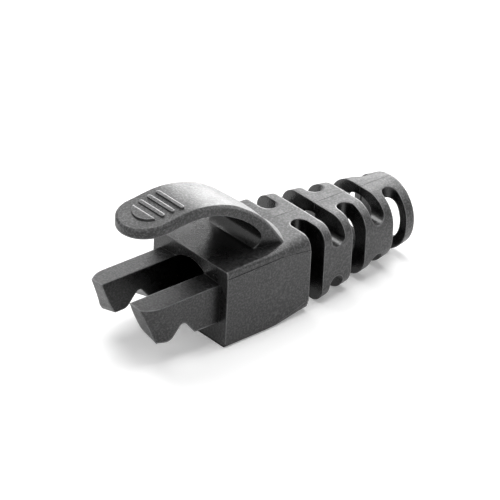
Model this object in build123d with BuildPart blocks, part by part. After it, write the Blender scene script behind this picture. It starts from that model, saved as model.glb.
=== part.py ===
from build123d import *
import os

os.makedirs("parts", exist_ok=True)

# Strain relief boot for a modular plug, moulded in one piece of soft plastic, in millimetres.
# X runs along the cable: 0 is the housing's front face, the plug is at -X and the tail at +X.
# Z = 0 is the cable's axis, and Y = 0 is the plane of symmetry.

# Tail: a rounded square a little narrower than the housing at its root, and almost round at its end
tail_side_inset = 0.29
tail_root_radius = 1.47
tail_end_diameter = 8.38
tail_end_flat = 0.3

# Housing behind the plug: a block whose long edges grow rounder towards the tail, the upper first.
# Its sections have their share of the length, of the side inset, and their upper and lower radii.
housing_width = 12.5
housing_height = 9.4
housing_length = 12.24
front_edge_radius = 0.3
housing_sections = (
    (0, 0, front_edge_radius, front_edge_radius),
    (0.5, 0.2, 0.45, front_edge_radius),
    (0.62, 0.4, 0.8, 0.35),
    (0.77, 0.7, 1.2, 0.75),
    (0.9, 0.9, 1.35, 1.2),
    (1, 1, tail_root_radius, tail_root_radius),
)

# Bending slots, by turns through the tail's two sides and through its top and bottom
slot_count = 5
slot_width = 2.2
ring_width = 1.19
end_ring_width = 1.3
top_bridge = 3.3
side_bridge = 3.75

# Cable bore: wide at the front for the wires, close to the cable in the tail
front_bore_diameter = 7.5
cable_bore_diameter = 6.5
bore_taper_length = 3.6
bore_taper_inset = 0.64

# Side panels that stand a hair proud of the housing, between its shoulders and its lower edges
panel_proud = 0.08
panel_drop = 0.85
panel_rear_drop = 1.54
panel_slope_length = 4.54
panel_clearance = 0.05

# Arms that reach into the plug, each with a notch over the plug's clamping bar
arm_length = 10.5
arm_side_inset = 1.2
arm_thickness = 2.7
arm_height = 4.2
arm_top_drop = 1.75
arm_top_fall = 0.2
arm_bottom_fall = 0.68
arm_tip_lean = 1.65
arm_inner_bulge = 0.08
arm_outer_bulge = -0.1
arm_knee_height = 0.6
arm_knee_length = 0.4
arm_nose_length = 2.3
arm_nose_inset = 0.95
arm_nose_low_inset = 0.5
notch_from_tip = 5.35
notch_half_width = 1.71
notch_depth = 2.04
notch_apex_radius = 0.6
tooth_radius = 1.1
notch_heel_radius = 0.4

# Hood over the plug's latch: its rise is above the housing's top
tongue_width = 6.9
tongue_length = 9.85
hood_rise = 7.35
hood_thickness = 1.15
hood_flare = 1.38
hood_heel_inset = 1.04
hood_rim_chamfer = 0.35

# Raised grip on the tongue: bars, then a half moon
grip_rise = 0.22
grip_start = 3.3
bar_count = 3
bar_pitch = 1.28
bar_width = 0.5
bar_length = 4.5
bar_shortening = 0.2
moon_width = 3.7
moon_depth = 1.15

housing_top = housing_height / 2
tail_root_width = housing_width - 2 * tail_side_inset
tail_end = housing_length + slot_count * slot_width + (slot_count - 1) * ring_width + end_ring_width


def section_plane(x):
    """A plane across the cable's axis at x, with its own x along Y and its own y along Z."""
    return Plane(origin=(x, 0, 0), x_dir=(0, 1, 0), z_dir=(1, 0, 0))


# Housing
with BuildPart() as housing:
    for length_share, inset_share, upper_radius, lower_radius in housing_sections:
        with BuildSketch(section_plane(length_share * housing_length)) as section:
            Rectangle(housing_width - 2 * (inset_share * tail_side_inset + panel_proud), housing_height)
            fillet(section.vertices().group_by(Axis.Y)[-1], upper_radius)
            fillet(section.vertices().group_by(Axis.Y)[0], lower_radius)
    loft(ruled=True)

# Side panels: the housing as a plain block, cut down to the stretch between its rounded edges
panel_bend = housing_length - panel_slope_length
with BuildPart() as panels:
    for length_share, inset_share, upper_radius, lower_radius in housing_sections:
        with BuildSketch(section_plane(length_share * housing_length)):
            Rectangle(housing_width - 2 * inset_share * tail_side_inset, housing_height)
    loft(ruled=True)
    lower_edge = [
        (length_share * housing_length, lower_radius + panel_clearance - housing_top)
        for length_share, inset_share, upper_radius, lower_radius in housing_sections
    ]
    with BuildSketch(Plane.XZ):
        with BuildLine():
            Polyline(
                lower_edge
                + [
                    (housing_length, housing_top - panel_rear_drop),
                    (panel_bend, housing_top - panel_drop),
                    (0, housing_top - panel_drop),
                ],
                close=True,
            )
        make_face()
    extrude(amount=housing_width, both=True, mode=Mode.INTERSECT)

# Tail
with BuildPart() as tail:
    with BuildSketch(section_plane(housing_length)):
        RectangleRounded(tail_root_width, housing_height, tail_root_radius)
    with BuildSketch(section_plane(tail_end)):
        RectangleRounded(tail_end_diameter, tail_end_diameter, (tail_end_diameter - tail_end_flat) / 2)
    loft()

# Arms: a side view at the inner face, lofted to a slightly lower one at the outer face
arm_root = 1.0
arm_outer = housing_width / 2 - arm_side_inset
arm_inner = arm_outer - arm_thickness
arm_top = housing_top - arm_top_drop
notch_center = notch_from_tip - arm_length
# Levels beyond an arm's top and bottom, as shares of its height, between which its plan is lofted
plan_levels = (-0.25, 1.4)


def arm_outline(y, top, bottom, bulge):
    """Side view of an arm, as a face across Y, from its root inside the housing to its tip."""
    knee = (arm_tip_lean - arm_length, bottom + arm_knee_height)
    tip_middle = (arm_tip_lean / 2 - arm_length - bulge, (top + knee[1]) / 2)
    apex = (notch_center, bottom + notch_depth)
    tooth = (notch_center - notch_half_width, bottom)
    heel = (notch_center + notch_half_width, bottom)
    with BuildSketch(Plane.XZ.offset(-y)) as outline:
        with BuildLine():
            Line((arm_root, top), (-arm_length, top))
            ThreePointArc((-arm_length, top), tip_middle, knee)
            Polyline(
                knee,
                (knee[0] + arm_knee_length, bottom),
                tooth,
                apex,
                heel,
                (arm_root, bottom),
                (arm_root, top),
            )
        make_face()
        for corner, radius in (
            (apex, notch_apex_radius),
            (tooth, tooth_radius),
            (heel, notch_heel_radius),
        ):
            fillet(outline.vertices().sort_by_distance(Vector(*corner))[0], radius)
    return outline.sketch


def arm_plan(level):
    """View of an arm from above with its rounded nose, at a level from 0 at its top to 1 at its bottom."""
    nose_end = (
        level * (arm_tip_lean + arm_knee_length) - arm_length,
        arm_outer - arm_nose_inset + level * (arm_nose_inset - arm_nose_low_inset),
    )
    nose_start = (nose_end[0] + arm_nose_length, arm_outer)
    with BuildSketch(Plane.XY.offset(arm_top - level * arm_height)) as plan:
        with BuildLine():
            TangentArc(nose_start, nose_end, tangent=(-1, 0))
            Polyline(
                nose_end,
                (-arm_length - arm_thickness, nose_end[1]),
                (-arm_length - arm_thickness, arm_inner),
                (arm_root, arm_inner),
                (arm_root, arm_outer),
                nose_start,
            )
        make_face()
    return plan.sketch


with BuildPart() as arms:
    outer_top = arm_top - arm_top_fall
    outer_bottom = arm_top - arm_height - arm_bottom_fall
    loft(
        [
            arm_outline(arm_inner, arm_top, arm_top - arm_height, arm_inner_bulge),
            arm_outline(arm_outer, outer_top, outer_bottom, arm_outer_bulge),
        ]
    )
    loft([arm_plan(level) for level in plan_levels], mode=Mode.INTERSECT)
    mirror(about=Plane.XZ)

# Hood: sections across it, from beyond the tongue's tip to its heel on the tail.
# Each has its distance in front of the heel, its flare beyond the tongue's width as a share of
# the foot's flare, its edges' rise as a share of the hood's rise, and the crown of its top.
hood_heel = housing_length - hood_heel_inset
tip_margin = 1.0
hood_sections = (
    (hood_heel + tongue_length + tip_margin, 0, 0.89, 0.02),
    (18.2, 0, 0.95, 0.02),
    (14.1, 0, 1, 0.02),
    (11.2, 0, 0.955, 0.02),
    (9.2, 0.015, 0.876, 0.03),
    (7.7, 0.075, 0.789, 0.05),
    (5.7, 0.26, 0.612, 0.2),
    (3.8, 0.56, 0.374, 0.5),
    (1.9, 1, -0.014, 1.5),
    (0.9, 1.3, -0.163, 1.65),
    (0, 1.5, -0.272, 1.85),
)
# Arch under the hood, with its distance in front of the heel and its share of the hood's rise
hood_arch = ((11.5, 0.81), (8.6, 0.66), (6.1, 0.441), (4.7, 0.177), (5.6, 0))
hood_root = 3.0


def hood_section(forward, flare, share, crown, lift):
    """A section across the hood, with a straight base and sides and an arched top with cut corners."""
    half = tongue_width / 2 + flare * hood_flare
    edge = housing_top + hood_rise * share + lift
    with BuildSketch(section_plane(hood_heel - forward)) as section:
        with BuildLine():
            Polyline(
                (-half, edge),
                (-half, housing_top - hood_root),
                (half, housing_top - hood_root),
                (half, edge),
            )
            ThreePointArc((-half, edge), (0, edge + crown), (half, edge))
        make_face()
        chamfer(section.vertices().group_by(Axis.Y)[-1], hood_rim_chamfer)
    return section.sketch


# The hood's plan: a round tip, whose corner is cut as the tongue's are, and a block behind it.
# The tip's flat top follows the tongue's, a little above it.
tip_center = tongue_width / 2 - tongue_length
tip_clearance = 0.05
tip_front, tip_back = (
    Vector(hood_heel - forward, 0, housing_top + hood_rise * share + tip_clearance)
    for forward, flare, share, crown in hood_sections[:2]
)
tip_slope = tip_back - tip_front
with BuildPart() as hood_plan:
    with BuildSketch(Plane.XY):
        with Locations((tip_center, 0)):
            Circle(tongue_width / 2)
    extrude(amount=2 * housing_height)
    tip_top = Plane(origin=tip_front, x_dir=tip_slope, z_dir=tip_slope.cross(Vector(0, 1, 0)))
    split(bisect_by=tip_top, keep=Keep.BOTTOM)
    chamfer(hood_plan.faces().sort_by(Axis.Z)[-1].edges(), hood_rim_chamfer)
    with BuildSketch(Plane.XY):
        with Locations(((tip_center + hood_heel) / 2, 0)):
            Rectangle(hood_heel - tip_center, 2 * housing_width)
    extrude(amount=2 * housing_height)

with BuildPart() as hood:
    loft([hood_section(*row, 0) for row in hood_sections])
    add(hood_plan.part, mode=Mode.INTERSECT)
    with BuildSketch(Plane.XZ):
        with BuildLine():
            under_tongue = [
                (hood_heel - forward, housing_top + hood_rise * share - hood_thickness)
                for forward, flare, share, crown in hood_sections[:3]
            ]
            under_arch = [
                (hood_heel - forward, housing_top + hood_rise * share) for forward, share in hood_arch
            ]
            underside = Spline(under_tongue + under_arch)
            Polyline(
                underside @ 1,
                (0, housing_top),
                (0, 0),
                (-tongue_length - tip_margin, 0),
                underside @ 0,
            )
        make_face()
    extrude(amount=housing_width, both=True, mode=Mode.SUBTRACT)

# Grip: bars and a half moon, whose tops follow the tongue's a little above it
with BuildPart() as grip:
    loft([hood_section(*row, grip_rise) for row in hood_sections[:4]])
    with BuildSketch(Plane.XY.offset(housing_top + hood_rise - hood_thickness)):
        for index in range(bar_count):
            with Locations((-grip_start - index * bar_pitch, 0)):
                SlotOverall(bar_length - index * bar_shortening, bar_width, rotation=90)
        with BuildLine():
            moon_chord = -grip_start - bar_count * bar_pitch + bar_width / 2
            chord = Line((moon_chord, -moon_width / 2), (moon_chord, moon_width / 2))
            ThreePointArc(chord @ 0, (moon_chord - moon_depth, 0), chord @ 1)
        make_face()
    extrude(amount=2 * hood_thickness, mode=Mode.INTERSECT)

# Boot: everything joined, then the bore and the bending slots cut
with BuildPart() as boot:
    add(housing.part)
    add(panels.part)
    add(tail.part)
    add(arms.part)
    add(hood.part)
    add(grip.part)
    taper_end = housing_length - bore_taper_inset
    with BuildSketch(Plane.XZ):
        with BuildLine():
            Polyline(
                (0, 0),
                (0, front_bore_diameter / 2),
                (taper_end - bore_taper_length, front_bore_diameter / 2),
                (taper_end, cable_bore_diameter / 2),
                (tail_end, cable_bore_diameter / 2),
                (tail_end, 0),
                close=True,
            )
        make_face()
    revolve(axis=Axis.X, mode=Mode.SUBTRACT)
    for index in range(slot_count):
        center = housing_length + slot_width / 2 + index * (slot_width + ring_width)
        across, bridge = (Plane.XY, top_bridge) if index % 2 == 0 else (Plane.XZ, side_bridge)
        nose = (bridge + slot_width) / 2
        with BuildSketch(across):
            for side in (-1, 1):
                with Locations((center, side * nose)):
                    Circle(slot_width / 2)
                with Locations((center, side * (nose + housing_width / 2))):
                    Rectangle(slot_width, housing_width)
        extrude(amount=housing_width, both=True, mode=Mode.SUBTRACT)

boot.part.label = "boot"
export_step(boot.part, "parts/boot.step")
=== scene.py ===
import math

import bpy
from mathutils import Matrix, Vector


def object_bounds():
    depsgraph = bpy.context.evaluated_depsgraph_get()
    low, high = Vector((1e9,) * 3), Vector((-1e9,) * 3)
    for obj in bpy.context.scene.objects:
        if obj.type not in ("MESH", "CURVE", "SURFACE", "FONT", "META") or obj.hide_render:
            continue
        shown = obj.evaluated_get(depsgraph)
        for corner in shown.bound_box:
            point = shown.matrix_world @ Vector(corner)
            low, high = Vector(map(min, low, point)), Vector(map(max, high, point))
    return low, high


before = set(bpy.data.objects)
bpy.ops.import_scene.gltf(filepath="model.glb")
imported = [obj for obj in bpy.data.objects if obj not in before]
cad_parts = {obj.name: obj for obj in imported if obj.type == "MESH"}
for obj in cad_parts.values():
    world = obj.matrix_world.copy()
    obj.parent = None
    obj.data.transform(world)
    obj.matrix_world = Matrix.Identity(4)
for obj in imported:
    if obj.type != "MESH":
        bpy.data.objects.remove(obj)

cad_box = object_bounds()

# Camera, at the photograph's viewing angle
CAMERA_AZIMUTH = math.radians(-42.146)
CAMERA_ELEVATION = math.radians(30.424)
CAMERA_ROLL = math.radians(2.775)
CAMERA_DISTANCE = 0.5
CAMERA_TARGET = Vector((0.008596, 0, 0.001709))
CAMERA_LENS = 328.4
CAMERA_SENSOR = 36
CAMERA_CLIP = (0.01, 10)

# Light: a little of it from the white world all round, the rest from soft lamps
WORLD_SHARE = 0.05
LAMP_DISTANCE = 0.4
LAMP_SIZE = 0.25
FLOOR_SIZE = 0.8
FLOOR_COLOR = (0.8, 0.8, 0.8)
FLOOR_GLOW = 0.28

# Soft black plastic: fine light speckles, clouds in its gloss, and a fine grain. Each RANGE is
# the stretch of a noise over which its effect goes from none to full.
PLASTIC_COLOR = (0.002, 0.002, 0.002)
PLASTIC_ROUGHNESS = 0.42
NOISE_ROUGHNESS = 0.6
PLAIN_DETAIL = 2
FINE_DETAIL = 3
SPECKLE_COLOR = (0.085, 0.085, 0.087)
SPECKLE_SIZE = 0.00024
SPECKLE_RANGE = (0.44, 0.72)
CLOUD_SIZE = 0.0015
CLOUD_RANGE = (0.3, 0.7)
CLOUD_ROUGHNESS = 0.04
GRAIN_SIZE = 0.0002
GRAIN_HEIGHT = 0.00002

# Its edges: a little round, and with a painted highlight, lighter in patches, where they are
# sharp. Each OPENNESS is the stretch of openness() over which its effect goes from none to full.
SURFACE_SAMPLES = 8
EDGE_RADIUS = 0.0003
EDGE_OPENNESS = (1, 0.9)
EDGE_HIGHLIGHT_COLOR = (0.26, 0.26, 0.265)
EDGE_HIGHLIGHT_WIDTH = 0.00026
EDGE_HIGHLIGHT_OPENNESS = (0.8, 0.5)
EDGE_HIGHLIGHT_LOWEST = 0.0005
EDGE_HIGHLIGHT_PATCH_SIZE = 0.0012
EDGE_HIGHLIGHT_PATCH_RANGE = (0.35, 0.6)
EDGE_HIGHLIGHT_PATCH_LEAST = 0.5

# What stays dark: painted shade in inward corners, along the base's edge and in cavities, which
# are smoother too, and the flaws
FLAW_AND_SHADE_COLOR = (0.001, 0.001, 0.001)
DARK_ROUGHNESS = 0.95
CREASE_REACH = 0.0003
CREASE_OPENNESS = (0.75, 0.5)
CAVITY_REACH = 0.01
CAVITY_OPENNESS = (0.9, 0.5)
CAVITY_ROUGHNESS_SHARE = 0.5

# Flaws: the mould's parting line along the top of the tail, and small pits here and there. Their
# depth is in grain heights.
FLAW_DEPTH = 3
SEAM_WIDTH = 0.0001
SEAM_WAVER = 0.00006
SEAM_WAVER_SIZE = 0.004
SEAM_START = 0.0118
SEAM_LOWEST = 0.0036
PIT_SPACING = 0.0015
PIT_RADIUS = 0.00014
PIT_RARITY = 0.78


def add_node(tree, kind, **inputs):
    """A node of this kind in a node tree, with values for its named inputs."""
    node = tree.nodes.new(kind)
    for name, value in inputs.items():
        node.inputs[name.replace("_", " ")].default_value = value
    return node


def maths(tree, operation, first, second=None):
    """A Math node on one or two values, of which the second may be a number."""
    node = add_node(tree, "ShaderNodeMath")
    node.operation = operation
    tree.links.new(first, node.inputs[0])
    if isinstance(second, (int, float)):
        node.inputs[1].default_value = second
    elif second is not None:
        tree.links.new(second, node.inputs[1])
    return node.outputs[0]


def spread(tree, value, low, high, low_out, high_out):
    """A value's stretch from low to high, mapped to another stretch and held at its ends."""
    node = add_node(tree, "ShaderNodeMapRange")
    for name, number in (
        ("From Min", low),
        ("From Max", high),
        ("To Min", low_out),
        ("To Max", high_out),
    ):
        node.inputs[name].default_value = number
    tree.links.new(value, node.inputs["Value"])
    return node.outputs["Result"]


def mix(tree, kind, factor, first, second):
    """A mix of two RGBA or VECTOR values, each a socket or, for a colour, three numbers."""
    node = add_node(tree, "ShaderNodeMix")
    node.data_type = kind
    tree.links.new(factor, node.inputs["Factor"])
    for name, value in (("A", first), ("B", second)):
        if isinstance(value, tuple):
            node.inputs[name].default_value = (*value, 1)
        else:
            tree.links.new(value, node.inputs[name])
    return node.outputs["Result"]


def view_direction(azimuth, elevation):
    """The way from the object to a camera or lamp at this azimuth and elevation."""
    return Vector(
        (
            math.sin(azimuth) * math.cos(elevation),
            -math.cos(azimuth) * math.cos(elevation),
            math.sin(elevation),
        )
    )


def add_camera():
    """The camera, turned by its roll, and made the scene's own."""
    back = view_direction(CAMERA_AZIMUTH, CAMERA_ELEVATION)
    right = Vector((math.cos(CAMERA_AZIMUTH), math.sin(CAMERA_AZIMUTH), 0))
    up = back.cross(right)
    turned_right = math.cos(CAMERA_ROLL) * right + math.sin(CAMERA_ROLL) * up
    turned_up = math.cos(CAMERA_ROLL) * up - math.sin(CAMERA_ROLL) * right
    camera = bpy.data.objects.new("camera", bpy.data.cameras.new("camera"))
    camera.matrix_world = Matrix.Translation(CAMERA_TARGET + back * CAMERA_DISTANCE) @ (
        Matrix((turned_right, turned_up, back)).transposed().to_4x4()
    )
    camera.data.lens = CAMERA_LENS
    camera.data.sensor_width = CAMERA_SENSOR
    camera.data.clip_start, camera.data.clip_end = CAMERA_CLIP
    bpy.context.scene.collection.objects.link(camera)
    bpy.context.scene.camera = camera


def seen_rays(tree):
    """Light Path's camera, glossy and transmission rays, added up to one value."""
    rays = add_node(tree, "ShaderNodeLightPath").outputs
    seen = maths(tree, "ADD", rays["Is Camera Ray"], rays["Is Glossy Ray"])
    return maths(tree, "ADD", seen, rays["Is Transmission Ray"])


def light_world():
    """A world that is white to seen rays, and that lights the scene by only its share."""
    world = bpy.data.worlds.new("studio")
    world.use_nodes = True
    bpy.context.scene.world = world
    tree = world.node_tree
    background = tree.nodes["Background"]
    background.inputs["Color"].default_value = (1, 1, 1, 1)
    strength = spread(tree, seen_rays(tree), 0, 1, WORLD_SHARE, 1)
    tree.links.new(strength, background.inputs["Strength"])


def add_lamp(name, azimuth, elevation, watts):
    """A round soft lamp that looks at the object from this azimuth and elevation, in degrees."""
    lamp = bpy.data.lights.new(name, "AREA")
    lamp.shape = "DISK"
    lamp.size = LAMP_SIZE
    lamp.energy = watts
    holder = bpy.data.objects.new(name, lamp)
    direction = view_direction(math.radians(azimuth), math.radians(elevation))
    holder.location = CAMERA_TARGET + direction * LAMP_DISTANCE
    holder.rotation_euler = direction.to_track_quat("Z", "Y").to_euler()
    bpy.context.scene.collection.objects.link(holder)


def floor_material():
    """A pale floor, a little lighter to seen rays so that its far part is white."""
    material = bpy.data.materials.new("floor")
    material.use_nodes = True
    tree = material.node_tree
    tree.nodes.clear()
    diffuse = add_node(tree, "ShaderNodeBsdfDiffuse", Color=(*FLOOR_COLOR, 1))
    glow = add_node(tree, "ShaderNodeEmission")
    tree.links.new(maths(tree, "MULTIPLY", seen_rays(tree), FLOOR_GLOW), glow.inputs["Strength"])
    add = add_node(tree, "ShaderNodeAddShader")
    tree.links.new(diffuse.outputs[0], add.inputs[0])
    tree.links.new(glow.outputs[0], add.inputs[1])
    output = add_node(tree, "ShaderNodeOutputMaterial")
    tree.links.new(add.outputs[0], output.inputs["Surface"])
    return material


def add_floor():
    """The floor, at the height of the boot's base."""
    bpy.ops.mesh.primitive_plane_add(size=FLOOR_SIZE, location=(0, 0, cad_box[0].z))
    floor = bpy.context.active_object
    floor.name = "floor"
    floor.data.materials.append(floor_material())


def noise(tree, place, size, detail):
    """Noise with features of this size in metres, as a value round a half."""
    node = add_node(tree, "ShaderNodeTexNoise", Scale=1 / size, Detail=detail)
    node.inputs["Roughness"].default_value = NOISE_ROUGHNESS
    tree.links.new(place, node.inputs["Vector"])
    return node.outputs["Fac"]


def coordinate(tree, place, axis):
    """A place's X, Y or Z in metres."""
    node = add_node(tree, "ShaderNodeSeparateXYZ")
    tree.links.new(place, node.inputs[0])
    return node.outputs[axis]


def height_over_base(tree, place):
    """How far a place is above the boot's base, in metres."""
    return maths(tree, "SUBTRACT", coordinate(tree, place, "Z"), cad_box[0].z)


def openness(tree, reach, inside):
    """How open it is within this reach, on the surface's outside or inside: 1 where it is flat."""
    node = add_node(tree, "ShaderNodeAmbientOcclusion", Distance=reach)
    node.inside = inside
    node.only_local = True
    node.samples = SURFACE_SAMPLES
    return node.outputs["AO"]


def seam_mask(tree, place):
    """1 on the parting line, which wavers a little along the top of the tail, and 0 off it."""
    sway = noise(tree, place, SEAM_WAVER_SIZE, PLAIN_DETAIL)
    waver = spread(tree, sway, 0, 1, -SEAM_WAVER, SEAM_WAVER)
    off = maths(tree, "ABSOLUTE", maths(tree, "ADD", coordinate(tree, place, "Y"), waver))
    line = spread(tree, off, 0, SEAM_WIDTH / 2, 1, 0)
    top = maths(tree, "GREATER_THAN", coordinate(tree, place, "Z"), SEAM_LOWEST)
    tail = maths(tree, "GREATER_THAN", coordinate(tree, place, "X"), SEAM_START)
    return maths(tree, "MULTIPLY", line, maths(tree, "MULTIPLY", top, tail))


def pit_mask(tree, place):
    """1 in the middle of a few small pits, and 0 round them."""
    cells = add_node(tree, "ShaderNodeTexVoronoi", Scale=1 / PIT_SPACING)
    tree.links.new(place, cells.inputs["Vector"])
    pit = spread(tree, cells.outputs["Distance"], 0, PIT_RADIUS / PIT_SPACING, 1, 0)
    chance = add_node(tree, "ShaderNodeSeparateColor")
    tree.links.new(cells.outputs["Color"], chance.inputs["Color"])
    chosen = maths(tree, "GREATER_THAN", chance.outputs["Red"], PIT_RARITY)
    return maths(tree, "MULTIPLY", pit, chosen)


def painted_edge_highlight_mask(tree, place):
    """Painted highlight: up to 1 on sharp outward edges, here more and there less, and 0 off them
    and at the base.
    """
    edge = spread(tree, openness(tree, EDGE_HIGHLIGHT_WIDTH, True), *EDGE_HIGHLIGHT_OPENNESS, 0, 1)
    patches = noise(tree, place, EDGE_HIGHLIGHT_PATCH_SIZE, PLAIN_DETAIL)
    patches = spread(tree, patches, *EDGE_HIGHLIGHT_PATCH_RANGE, EDGE_HIGHLIGHT_PATCH_LEAST, 1)
    raised = maths(tree, "GREATER_THAN", height_over_base(tree, place), EDGE_HIGHLIGHT_LOWEST)
    return maths(tree, "MULTIPLY", raised, maths(tree, "MULTIPLY", edge, patches))


def painted_crease_shade_mask(tree, place):
    """Painted shade: up to 1 in inward corners and along the base, and 0 off them."""
    corner = spread(tree, openness(tree, CREASE_REACH, False), *CREASE_OPENNESS, 0, 1)
    base = spread(tree, height_over_base(tree, place), CREASE_REACH / 2, CREASE_REACH, 1, 0)
    return maths(tree, "MAXIMUM", corner, base)


def painted_cavity_shade_mask(tree):
    """Painted shade: up to 1 deep in the slots, in the bore and under the arch, and 0 out in the
    open.
    """
    return spread(tree, openness(tree, CAVITY_REACH, False), *CAVITY_OPENNESS, 0, 1)


def rounded_normal(tree):
    """The surface's normal, turned as on a round edge where the edge is an outward one."""
    edges = add_node(tree, "ShaderNodeBevel", Radius=EDGE_RADIUS)
    edges.samples = SURFACE_SAMPLES
    flat = add_node(tree, "ShaderNodeNewGeometry").outputs["Normal"]
    outward = spread(tree, openness(tree, EDGE_RADIUS, True), *EDGE_OPENNESS, 0, 1)
    return mix(tree, "VECTOR", outward, flat, edges.outputs["Normal"])


def plastic_material():
    """The boot's plastic: its colour, with painted highlight and painted shade, then its
    roughness, then its relief.
    """
    material = bpy.data.materials.new("soft_black_plastic")
    material.use_nodes = True
    tree = material.node_tree
    shader = tree.nodes["Principled BSDF"]
    place = add_node(tree, "ShaderNodeTexCoord").outputs["Object"]
    flaws = maths(tree, "MAXIMUM", seam_mask(tree, place), pit_mask(tree, place))
    # the flaws, and painted shade in inward corners and along the base
    flaws_and_painted_shade = maths(tree, "MAXIMUM", flaws, painted_crease_shade_mask(tree, place))
    # painted shade deep in the cavities, which are also made smoother
    shaded_cavities = painted_cavity_shade_mask(tree)

    speckles = noise(tree, place, SPECKLE_SIZE, PLAIN_DETAIL)
    speckles = spread(tree, speckles, *SPECKLE_RANGE, 0, 1)
    shade = mix(tree, "RGBA", speckles, PLASTIC_COLOR, SPECKLE_COLOR)
    # painted highlight on sharp outward edges, in a lighter colour
    shade = mix(tree, "RGBA", painted_edge_highlight_mask(tree, place), shade, EDGE_HIGHLIGHT_COLOR)
    # the dark flaws, and painted shade in corners, along the base and in cavities, in one dark
    # colour
    shade = mix(tree, "RGBA", maths(tree, "MAXIMUM", flaws_and_painted_shade, shaded_cavities), shade, FLAW_AND_SHADE_COLOR)
    tree.links.new(shade, shader.inputs["Base Color"])

    clouds = noise(tree, place, CLOUD_SIZE, FINE_DETAIL)
    glossiest = PLASTIC_ROUGHNESS - CLOUD_ROUGHNESS
    dullest = PLASTIC_ROUGHNESS + CLOUD_ROUGHNESS
    rough = spread(tree, clouds, *CLOUD_RANGE, glossiest, dullest)
    share = spread(tree, shaded_cavities, 0, 1, 1, CAVITY_ROUGHNESS_SHARE)
    rough = maths(tree, "MULTIPLY", rough, share)
    dull = maths(tree, "MULTIPLY", flaws_and_painted_shade, DARK_ROUGHNESS)
    tree.links.new(maths(tree, "MAXIMUM", rough, dull), shader.inputs["Roughness"])

    grain = noise(tree, place, GRAIN_SIZE, FINE_DETAIL)
    depth = maths(tree, "MULTIPLY", flaws, FLAW_DEPTH)
    relief = add_node(tree, "ShaderNodeBump", Strength=1, Distance=GRAIN_HEIGHT)
    tree.links.new(maths(tree, "SUBTRACT", grain, depth), relief.inputs["Height"])
    tree.links.new(rounded_normal(tree), relief.inputs["Normal"])
    tree.links.new(relief.outputs["Normal"], shader.inputs["Normal"])
    return material


def dress_boot():
    """The CAD solid itself, with the plastic in its material slot."""
    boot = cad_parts["boot"]
    boot.data.materials.clear()
    boot.data.materials.append(plastic_material())


add_camera()
light_world()
add_floor()
add_lamp("behind_tail", azimuth=120, elevation=14, watts=1.45)
add_lamp("tail_side", azimuth=90, elevation=30, watts=0.5)
add_lamp("far_side", azimuth=176, elevation=56, watts=1.0)
add_lamp("front_side", azimuth=-90, elevation=60, watts=0.4)
add_lamp("overhead", azimuth=60, elevation=84, watts=0.8)
dress_boot()

bpy.context.scene.view_settings.view_transform = "Standard"
